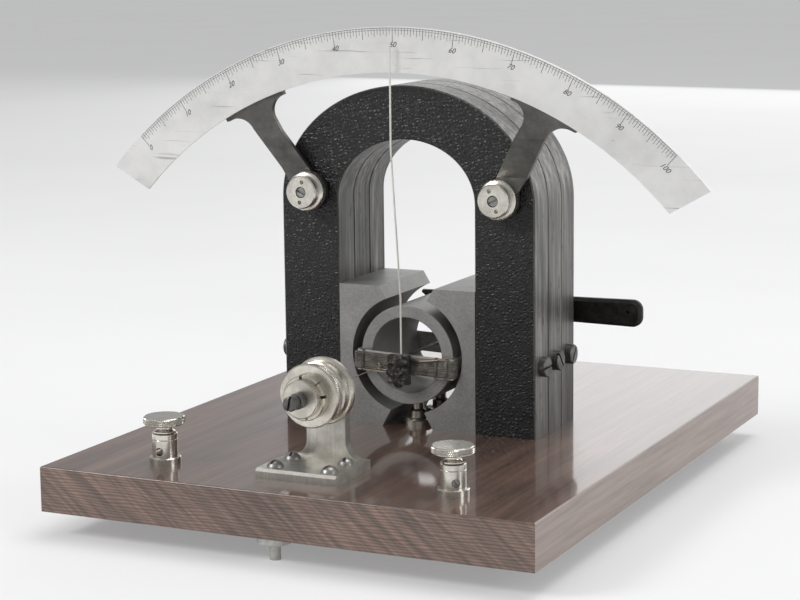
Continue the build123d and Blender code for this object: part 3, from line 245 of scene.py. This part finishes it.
def turned(name, axis, centre, color=(0.74, 0.7, 0.62), rough=0.24, rings=1.0):
    """Turned metal whose fine tool marks run round an axis through a centre, in millimetres."""
    m = Mat(name, rough=rough, metal=1.0)
    where = m.node("ShaderNodeTexCoord", out=3)
    off = m.node("ShaderNodeVectorMath", props={"operation": "SUBTRACT"}, _0=where,
                 _1=tuple(v * MM for v in centre))
    keep = [0.0 if i == "XYZ".index(axis) else 1.0 for i in range(3)]
    flat = m.node("ShaderNodeVectorMath", props={"operation": "MULTIPLY"}, _0=off, _1=tuple(keep))
    radius = m.node("ShaderNodeVectorMath", props={"operation": "LENGTH"}, out=1, _0=flat)
    along = m.node("ShaderNodeSeparateXYZ", out="XYZ".index(axis), Vector=off)
    pair = m.node("ShaderNodeCombineXYZ", X=radius, Y=along)
    lines = m.noise(pair, 5200, 2, 0.6)
    bands = m.noise(pair, 700, 3, 0.6)
    at = m.coords()
    stain = m.noise(at, 90, 5, 0.62)
    spots = m.noise(at, 700, 3, 0.6)
    dark = tuple(v * 0.62 for v in color)
    c = m.mix(m.ramp(stain, [(0.38, 0.75), (0.66, 0.0)]), color, dark)
    c = m.mix(m.ramp(spots, [(0.68, 0.0), (0.78, 0.7)]), c, (0.08, 0.07, 0.055))
    m.set(m.b, "Base Color", c)
    m.set(m.b, "Roughness", m.math("ADD", m.ramp(stain, [(0.3, rough + 0.12), (0.7, rough - 0.04)]),
                                   m.math("MULTIPLY", m.math("SUBTRACT", bands, 0.5), 0.22)))
    m.bump(m.math("ADD", lines, m.math("MULTIPLY", bands, 0.7)), 0.16 * rings, 0.00008)
    return m.m


def satin(name, color=(0.68, 0.655, 0.6), rough=0.34, along=(1, 1, 0.05), scale=900):
    """Filed and polished flat metal with fine parallel marks and worn stains."""
    m = Mat(name, rough=rough, metal=1.0)
    marks = m.noise(m.coords(scale=along), scale, 3, 0.6)
    stain = m.noise(m.coords(), 70, 5, 0.65)
    pits = m.noise(m.coords(), 1200, 3, 0.6)
    c = m.mix(m.ramp(stain, [(0.36, 0.8), (0.66, 0.0)]), color, tuple(v * 0.55 for v in color))
    c = m.mix(m.ramp(marks, [(0.35, 0.35), (0.6, 0.0)]), c, tuple(v * 0.5 for v in color))
    c = m.mix(m.ramp(pits, [(0.7, 0.0), (0.78, 0.8)]), c, (0.05, 0.045, 0.04))
    m.set(m.b, "Base Color", c)
    m.set(m.b, "Roughness", m.ramp(stain, [(0.3, rough + 0.16), (0.7, rough - 0.05)]))
    m.bump(m.math("ADD", marks, m.math("MULTIPLY", stain, 0.6)), 0.2, 0.0001)
    return m.m


def silvered():
    m = Mat("silvered_plate", rough=0.42, metal=0.35)
    at = m.coords()
    cloud = m.noise(at, 34, 5, 0.62)
    c = m.ramp(cloud, [(0.3, (0.66, 0.655, 0.645)), (0.55, (0.8, 0.795, 0.78)), (0.75, (0.88, 0.875, 0.86))])
    scratch = m.noise(m.coords(scale=(0.03, 1, 1)), 800, 2, 0.5)
    spots = m.noise(m.coords(scale=(0.25, 1, 1)), 170, 5, 0.75)
    c = m.mix(m.ramp(scratch, [(0.66, 0.0), (0.74, 0.5)]), c, (0.16, 0.155, 0.145))
    c = m.mix(m.ramp(spots, [(0.66, 0.0), (0.74, 0.7)]), c, (0.14, 0.135, 0.125))
    m.set(m.b, "Base Color", c)
    m.set(m.b, "Roughness", m.ramp(cloud, [(0.3, 0.5), (0.7, 0.32)]))
    m.bump(scratch, 0.08, 0.0001)
    return m.m


def dark_steel(name="screw_steel", level=0.2, rough=0.36):
    m = Mat(name, rough=rough, metal=0.9)
    at = m.coords()
    rustn = m.noise(at, 220, 5, 0.65)
    fine = m.noise(at, 1500, 3, 0.6)
    c = m.ramp(rustn, [(0.3, (level * 0.4, level * 0.38, level * 0.35)),
                       (0.7, (level, level * 0.98, level * 0.94))])
    m.set(m.b, "Base Color", c)
    m.set(m.b, "Roughness", m.ramp(rustn, [(0.3, rough + 0.2), (0.7, rough)]))
    m.bump(m.math("ADD", fine, rustn), 0.2, 0.0001)
    return m.m


def cotton():
    m = Mat("wound_wire", rough=0.82)
    at = m.coords()
    fuzz = m.noise(at, 1700, 4, 0.7)
    patches = m.noise(at, 190, 4, 0.6)
    c = m.ramp(patches, [(0.32, (0.075, 0.068, 0.058)), (0.6, (0.19, 0.178, 0.155)),
                         (0.75, (0.36, 0.345, 0.31))])
    c = m.mix(0.5, c, m.ramp(fuzz, [(0.3, 0.25), (0.7, 0.78)]), "OVERLAY")
    m.set(m.b, "Base Color", c)
    m.bump(fuzz, 0.6, 0.0002)
    return m.m


def solder():
    m = Mat("solder", rough=0.42, metal=0.4)
    at = m.coords()
    lumps = m.noise(at, 560, 5, 0.7)
    bright = m.noise(at, 420, 4, 0.7)
    c = m.ramp(bright, [(0.48, (0.018, 0.017, 0.015)), (0.62, (0.12, 0.115, 0.105)),
                        (0.74, (0.5, 0.49, 0.46))])
    m.set(m.b, "Base Color", c)
    m.bump(lumps, 1.0, 0.0009)
    return m.m


def straw():
    m = Mat("pointer_straw", rough=0.5, color=(0.72, 0.7, 0.64))
    streak = m.noise(m.coords(scale=(1, 1, 0.03)), 900, 3, 0.6)
    m.set(m.b, "Base Color", m.ramp(streak, [(0.3, (0.6, 0.585, 0.53)), (0.7, (0.82, 0.805, 0.75))]))
    m.bump(streak, 0.2, 0.0001)
    return m.m


def ink():
    m = Mat("scale_ink", rough=0.6)
    worn = m.noise(m.coords(), 900, 3, 0.6)
    m.set(m.b, "Base Color", m.ramp(worn, [(0.35, (0.03, 0.028, 0.026)), (0.75, (0.11, 0.105, 0.1))]))
    return m.m


def plain(name, color, rough, metal=0.0, scale=600):
    m = Mat(name, rough=rough, metal=metal)
    n = m.noise(m.coords(), scale, 4, 0.6)
    m.set(m.b, "Base Color", m.ramp(n, [(0.3, tuple(v * 0.75 for v in color)), (0.7, color)]))
    m.bump(n, 0.2, 0.0001)
    return m.m


M = {
    "wood": wood(),
    "magnet": magnet(),
    "iron": iron(),
    "silver": silvered(),
    "steel": dark_steel(),
    "cotton": cotton(),
    "solder": solder(),
    "straw": straw(),
    "ink": ink(),
    "lever": dark_steel("lever_steel", 0.045, 0.4),
    "bright_steel": dark_steel("bright_steel", 0.42, 0.3),
    "plate": satin("stand_brass"),
    "bracket": satin("bracket_brass", (0.17, 0.165, 0.155), 0.42, (0.3, 1, 0.3), 700),
    "former": plain("former_metal", (0.62, 0.6, 0.55), 0.42, 0.6),
    "wire": plain("bronze_wire", (0.5, 0.42, 0.3), 0.4, 0.9),
    "foot": plain("foot_metal", (0.62, 0.61, 0.58), 0.5, 0.6, 420),
}
HEAD = turned("head_brass", "Y", (0, -120, AXIS_Z))
STEMS = turned("stem_brass", "Z", (0, 0, 40), rings=0.5)


def dress(material, *names):
    for n in names:
        nodes[n].data.materials.clear()
        nodes[n].data.materials.append(material)


def smooth(obj, angle=30):
    for p in obj.data.polygons:
        p.use_smooth = True


dress(M["wood"], "base_board")
dress(M["magnet"], "magnet_front", "magnet_middle", "magnet_rear")
dress(M["iron"], "pole_left", "pole_right", "core_ring")
dress(M["silver"], "scale_plate")
dress(M["bracket"], "scale_bracket_left", "scale_bracket_right", "bracket_washers")
dress(M["steel"], "pole_screws", "magnet_screws_left", "magnet_screws_right", "scale_screws", "head_screw",
      "coil_spindle", "lever_pivot")
dress(M["bright_steel"], "scale_studs", "front_stand_screws", "rear_stand_screws")
dress(M["lever"], "rear_lever")
dress(M["plate"], "front_stand", "rear_stand")
dress(HEAD, "head_drum", "head_ring_nut", "head_disc", "head_shaft", "head_retainer", "tension_screw",
      "tension_nut")
dress(STEMS, "core_stems", "core_stem_nuts")
dress(M["former"], "coil_former")
dress(M["solder"], "coil_clamp_front", "coil_clamp_rear")
dress(M["straw"], "pointer")
dress(M["wire"], "suspension_front", "suspension_rear", "lead_left", "lead_right")
dress(M["foot"], "feet")
dress(HEAD, "lever_spacer", "terminal_nuts")
for tag, side in SIDES:
    post_place = (side * TERMINAL_X, TERMINAL_Y, 50)
    post = turned(f"post_brass_{tag}", "Z", post_place, (0.78, 0.75, 0.68), 0.18, 0.5)
    dress(post, f"terminal_post_{tag}", f"terminal_shank_{tag}", f"terminal_knob_{tag}")
    nut = turned(f"nut_brass_{tag}", "Y", (side * NUT_X, NUT_Y, NUT_Z), (0.76, 0.73, 0.66), 0.24, 1.6)
    dress(nut, f"scale_nut_{tag}")


# Mesh helpers
def make(name, verts, faces, material, body, smooth_it=False):
    """Mesh object from millimetre points, riding on a body."""
    me = bpy.data.meshes.new(name)
    me.from_pydata([Vector(v) * MM for v in verts], [], faces)
    me.update()
    me.materials.append(material)
    o = bpy.data.objects.new(name, me)
    bpy.context.collection.objects.link(o)
    if smooth_it:
        smooth(o)
    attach(o, body)
    return o


def tube(points, radius, sides=8, closed=False):
    """Vertices and faces of a round tube along points."""
    pts = [Vector(p) for p in points]
    n = len(pts)
    verts, faces = [], []
    prev = None
    for i, p in enumerate(pts):
        a = pts[i - 1] if (i or closed) else p
        b = pts[(i + 1) % n] if (i < n - 1 or closed) else p
        d = (b - a).normalized()
        if prev is None:
            side = d.orthogonal().normalized()
        else:
            side = (prev - d * prev.dot(d)).normalized()
        prev = side
        other = d.cross(side)
        r = radius[i] if isinstance(radius, (list, tuple)) else radius
        for k in range(sides):
            t = 2 * math.pi * k / sides
            verts.append(p + side * (r * math.cos(t)) + other * (r * math.sin(t)))
    rows = n if closed else n - 1
    for i in range(rows):
        for k in range(sides):
            a, b = i * sides, ((i + 1) % n) * sides
            faces.append((a + k, a + (k + 1) % sides, b + (k + 1) % sides, b + k))
    if not closed:
        faces.append(tuple(range(sides))[::-1])
        faces.append(tuple((n - 1) * sides + k for k in range(sides)))
    return verts, faces


def gather(parts):
    """One list of vertices and faces from several."""
    verts, faces = [], []
    for v, f in parts:
        base = len(verts)
        verts += v
        faces += [tuple(i + base for i in face) for face in f]
    return verts, faces


# Scale divisions and numbers
RIM_LINE_DEPTH = 0.7
BAND_LINE_DEPTH = 1.8
NUMBER_DEPTH = 9.4
NUMBER_SIZE = 3.9


def turn_of(units):
    """Degrees from the middle of the scale's arc to a division, fitted to the photograph's numbers."""
    tens = (units - 50) / 10
    return 8.87 * tens - 0.0112 * tens ** 3


def on_scale(depth, angle, lift=0.06):
    """Point on the scale's face at an angle about the arc's own centre, a depth in from the rim."""
    t = math.radians(angle)
    r = SCALE_R - depth
    return Vector((r * math.sin(t), FACE_Y - lift, SCALE_Z + r * math.cos(t)))


def stroke(a, b, width, lift_dir=Vector((0, -1, 0))):
    d = (b - a).normalized()
    w = d.cross(lift_dir) * (width / 2)
    return [a - w, a + w, b + w, b - w], [(0, 1, 2, 3)]


parts = []
for unit in range(201):
    angle = turn_of(unit / 2)
    if unit % 20 == 0:
        deep = 7.8
    elif unit % 10 == 0:
        deep = 6.5
    elif unit % 2 == 0:
        deep = 5.0
    else:
        deep = 4.0
    width = 0.26 if unit % 10 == 0 else 0.2
    parts.append(stroke(on_scale(RIM_LINE_DEPTH, angle), on_scale(deep, angle), width))
for depth, width in ((RIM_LINE_DEPTH, 0.2), (BAND_LINE_DEPTH, 0.14)):
    for i in range(-172, 172):
        parts.append(stroke(on_scale(depth, i * 0.25), on_scale(depth, (i + 1) * 0.25), width))
v, f = gather(parts)
make("scale_divisions", v, f, M["ink"], "stand")

for k in range(0, 11):
    angle = turn_of(k * 10)
    text = bpy.data.curves.new(f"number_{k}", "FONT")
    text.body = str(k * 10)
    text.size = NUMBER_SIZE * MM
    text.align_x = "CENTER"
    text.align_y = "CENTER"
    text.shear = 0.35
    o = bpy.data.objects.new(f"scale_number_{k * 10}", text)
    bpy.context.collection.objects.link(o)
    o.matrix_world = (Matrix.Translation(on_scale(NUMBER_DEPTH, angle, 0.08) * MM)
                      @ Euler((math.radians(90), math.radians(angle), 0), "XYZ").to_matrix().to_4x4())
    text.materials.append(M["ink"])
    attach(o, "stand")


# Knurls
def knurl(name, radius, low, high, count, depth, place, material, body, straight=False):
    """Band of raised diamonds or ridges round an axis. place maps (x, y, along) to the object."""
    rows = 1 if straight else max(2, round((high - low) / (2 * math.pi * radius / count)))
    parts = []
    for j in range(rows):
        z0, z1 = low + (high - low) * j / rows, low + (high - low) * (j + 1) / rows
        shift = 0.5 * (j % 2)
        for i in range(count):
            a = 2 * math.pi * (i + shift) / count
            h = math.pi / count
            if straight:
                w = h * 0.9
                pts = [(radius, a - w, z0), (radius, a + w, z0), (radius, a + w, z1), (radius, a - w, z1),
                       (radius + depth, a, z0 + 0.1), (radius + depth, a, z1 - 0.1)]
                faces = [(0, 4, 5, 3), (4, 1, 2, 5), (0, 1, 4), (2, 3, 5)]
            else:
                zm = (z0 + z1) / 2
                zh = z1 - z0
                pts = [(radius, a - h, zm), (radius, a, max(low, zm - zh)), (radius, a + h, zm),
                       (radius, a, min(high, zm + zh)), (radius + depth, a, zm)]
                faces = [(0, 1, 4), (1, 2, 4), (2, 3, 4), (3, 0, 4)]
            parts.append(([place(r * math.cos(t), r * math.sin(t), z) for r, t, z in pts], faces))
    v, f = gather(parts)
    return make(name, v, f, material, body)


for tag, side in SIDES:
    mat = nodes[f"terminal_knob_{tag}"].data.materials[0]
    knurl(f"knob_knurl_{tag}", 10.28, BASE_TOP + 20.8, BASE_TOP + 24.1, 74, 0.34,
          lambda x, y, z, px=side * TERMINAL_X: (px + x, TERMINAL_Y + y, z), mat, f"knob_{tag}")

knurl("head_knurl", 15.5, 11.4, 14.8, 96, 0.3,
      lambda x, y, s: (x, HEAD_REAR - s, AXIS_Z + y), HEAD, "torsion_head")
knurl("disc_milling", 9.38, 0.2, 3.7, 64, 0.28,
      lambda x, y, s: (x, DISC_REAR - s, AXIS_Z + y), HEAD, "torsion_head", straight=True)

# Coil winding
TILT = Matrix.Rotation(COIL_TILT, 3, "Y")


def on_coil(x, y, z):
    """Coil-frame point to the object: tilted about the axis, and hung below it."""
    return TILT @ Vector((x, y, z - COIL_DROP)) + Vector((0, 0, AXIS_Z))


def loop(half_x, half_y, corner, steps=6):
    pts = []
    for sx, sy, start in ((1, 1, 0), (-1, 1, 90), (-1, -1, 180), (1, -1, 270)):
        for k in range(steps + 1):
            t = math.radians(start + 90 * k / steps)
            pts.append((sx * (half_x - corner) + corner * math.cos(t),
                        sy * (half_y - corner) + corner * math.sin(t)))
    dense = []
    for a, b in zip(pts, pts[1:] + pts[:1]):
        n = max(1, int(math.dist(a, b) / 3.5))
        dense += [(a[0] + (b[0] - a[0]) * i / n, a[1] + (b[1] - a[1]) * i / n) for i in range(n)]
    return dense


parts = []
turns = 11
for layer in range(2):
    for j in range(turns - layer):
        z = (j - (turns - layer - 1) / 2) * 0.86
        base = loop(WALL_X + 0.45 + layer * 0.62, WALL_Y + 0.45 + layer * 0.62, 1.6 + layer * 0.6)
        phase, lift = rng.uniform(0, 6.28), rng.uniform(0.05, 0.16)
        pts = []
        for i, (x, y) in enumerate(base):
            t = 2 * math.pi * i / len(base)
            wob = lift * math.sin(5 * t + phase) + rng.uniform(-0.07, 0.07)
            pts.append(on_coil(x, y, z + wob))
        parts.append(tube(pts, 0.45 if layer == 0 else 0.42, 7, closed=True))
v, f = gather(parts)
winding = make("winding_turns", v, f, M["cotton"], "coil", True)
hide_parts("coil_winding")

# Bindings, a loose loop at the left and the thin lead on the right of the clamp
parts = []
for x0 in (-24.8, 18.6, 24.6):
    for k in range(3):
        x = x0 + k * 0.5
        ring = [(x, -WALL_Y - 1.95, -5.2), (x + 0.2, -WALL_Y - 1.95, 5.2), (x, -WALL_Y + 0.1, 5.85),
                (x, -WALL_Y + 1.0, 0), (x, -WALL_Y + 0.1, -5.85)]
        parts.append(tube([on_coil(*p) for p in ring], 0.2, 6, closed=True))
v, f = gather(parts)
make("winding_bindings", v, f, M["cotton"], "coil", True)

curl = [(-8.5 - 7 * t + 1.8 * math.sin(9 * t), -WALL_Y - 2.3 - 0.3 * math.cos(9 * t),
         -2.0 + 1.7 * math.sin(11 * t + 1))
        for t in [i / 26 for i in range(27)]]
lead = [(6.0, -WALL_Y - 2.6, 3.2), (12, -WALL_Y - 2.5, 3.6), (19, -WALL_Y - 2.4, 4.6),
        (25, -WALL_Y - 1.6, 6.2), (29.3, -WALL_Y + 2.0, 7.0)]
v, f = gather([tube([on_coil(*p) for p in curl], 0.32, 7), tube([on_coil(*p) for p in lead], 0.28, 7)])
make("coil_leads", v, f, M["wire"], "coil", True)


def blob(name, centre, size, material, body, rough=0.22, seed=0):
    """Lumpy bead from a subdivided sphere, pushed in and out by seeded noise."""
    bm = bmesh.new()
    bmesh.ops.create_icosphere(bm, subdivisions=4, radius=1.0)
    r = random.Random(seed)
    waves = []
    for _ in range(9):
        direction = Vector((r.uniform(-1, 1), r.uniform(-1, 1), r.uniform(-1, 1)))
        waves.append((direction * r.uniform(3, 9), r.uniform(0, 6)))
    for vert in bm.verts:
        p = vert.co.copy()
        push = 1 + rough * sum(math.sin(w.dot(p) + ph) for w, ph in waves) / 4
        vert.co = Vector((p.x * size[0], p.y * size[1], p.z * size[2])) * push
    me = bpy.data.meshes.new(name)
    for vert in bm.verts:
        vert.co = (vert.co + Vector(centre)) * MM
    bm.to_mesh(me)
    bm.free()
    me.materials.append(material)
    o = bpy.data.objects.new(name, me)
    bpy.context.collection.objects.link(o)
    smooth(o)
    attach(o, body)
    return o


BEADS = (
    ("solder_front_1", (-1.2, -37.2, 73.5), (5.4, 1.5, 3.6), 0.3, 3),
    ("solder_front_2", (-2.6, -37.3, 68.4), (4.2, 1.3, 3.4), 0.34, 8),
    ("solder_front_3", (1.2, -36.6, 77.2), (4.6, 1.2, 1.6), 0.3, 5),
    ("solder_front_4", (-1.0, -36.6, 63.6), (3.6, 1.2, 2.4), 0.36, 6),
    ("solder_rear_1", (0.0, 37.1, 70.6), (3.4, 1.2, 3.4), 0.3, 9),
)
for name, centre, size, rough, seed in BEADS:
    blob(name, centre, size, M["solder"], "coil", rough, seed)

# Stage and light
floor_m = Mat("floor_white", rough=0.9, color=(0.84, 0.84, 0.845))
paper = floor_m.noise(floor_m.coords(), 3.0, 3, 0.5)
floor_m.set(floor_m.b, "Base Color", floor_m.ramp(paper, [(0.3, (0.82, 0.82, 0.825)),
                                                          (0.7, (0.86, 0.86, 0.865))]))
out = floor_m.t.nodes["Material Output"]
path = floor_m.t.nodes.new("ShaderNodeLightPath")
glow = floor_m.t.nodes.new("ShaderNodeEmission")
glow.inputs["Color"].default_value = (0.93, 0.93, 0.935, 1)
both = floor_m.t.nodes.new("ShaderNodeMixShader")
direct = floor_m.math("MAXIMUM", path.outputs["Is Camera Ray"], path.outputs["Is Glossy Ray"])
seen = floor_m.math("MULTIPLY", direct, 0.3)
floor_m.t.links.new(seen, both.inputs[0])
floor_m.t.links.new(floor_m.b.outputs[0], both.inputs[1])
floor_m.t.links.new(glow.outputs[0], both.inputs[2])
floor_m.t.links.new(both.outputs[0], out.inputs[0])

me = bpy.data.meshes.new("floor")
me.from_pydata([(-6, -6, 0), (6, -6, 0), (6, 9, 0), (-6, 9, 0)], [], [(0, 1, 2, 3)])
me.materials.append(floor_m.m)
floor = bpy.data.objects.new("floor", me)
bpy.context.collection.objects.link(floor)

world = bpy.data.worlds.new("world")
bpy.context.scene.world = world
world.use_nodes = True
wt = world.node_tree
bg = wt.nodes["Background"]
bg.inputs[0].default_value = (0.92, 0.925, 0.935, 1)
bg.inputs[1].default_value = 0.42
bg2 = wt.nodes.new("ShaderNodeBackground")
bg2.inputs[0].default_value = (0.8, 0.8, 0.805, 1)
bg2.inputs[1].default_value = 1.0
wp = wt.nodes.new("ShaderNodeLightPath")
wm = wt.nodes.new("ShaderNodeMath")
wm.operation = "MAXIMUM"
wt.links.new(wp.outputs["Is Camera Ray"], wm.inputs[0])
wt.links.new(wp.outputs["Is Transmission Ray"], wm.inputs[1])
ws = wt.nodes.new("ShaderNodeMixShader")
wt.links.new(wm.outputs[0], ws.inputs[0])
wt.links.new(bg.outputs[0], ws.inputs[1])
wt.links.new(bg2.outputs[0], ws.inputs[2])
wt.links.new(ws.outputs[0], wt.nodes["World Output"].inputs[0])


def lamp(name, place, target, size, power, shape="RECTANGLE", size_y=None):
    d = bpy.data.lights.new(name, "AREA")
    d.shape = shape
    d.size = size
    if size_y:
        d.size_y = size_y
    d.energy = power
    o = bpy.data.objects.new(name, d)
    bpy.context.collection.objects.link(o)
    o.location = place
    o.rotation_mode = "QUATERNION"
    o.rotation_quaternion = (Vector(target) - Vector(place)).to_track_quat("-Z", "Y")
    return o


lamp("key", (-1.3, -1.5, 1.5), (0, -0.05, 0.1), 0.8, 26, size_y=0.8)
lamp("top", (0.3, 0.4, 1.9), (0, 0, 0.1), 1.2, 16, size_y=1.2)
lamp("back_wall", (0.2, 2.6, 0.9), (0, 0, 0.15), 3.6, 24, size_y=1.8)
lamp("side", (1.9, -0.2, 0.7), (0, 0, 0.1), 0.6, 7, size_y=1.0)
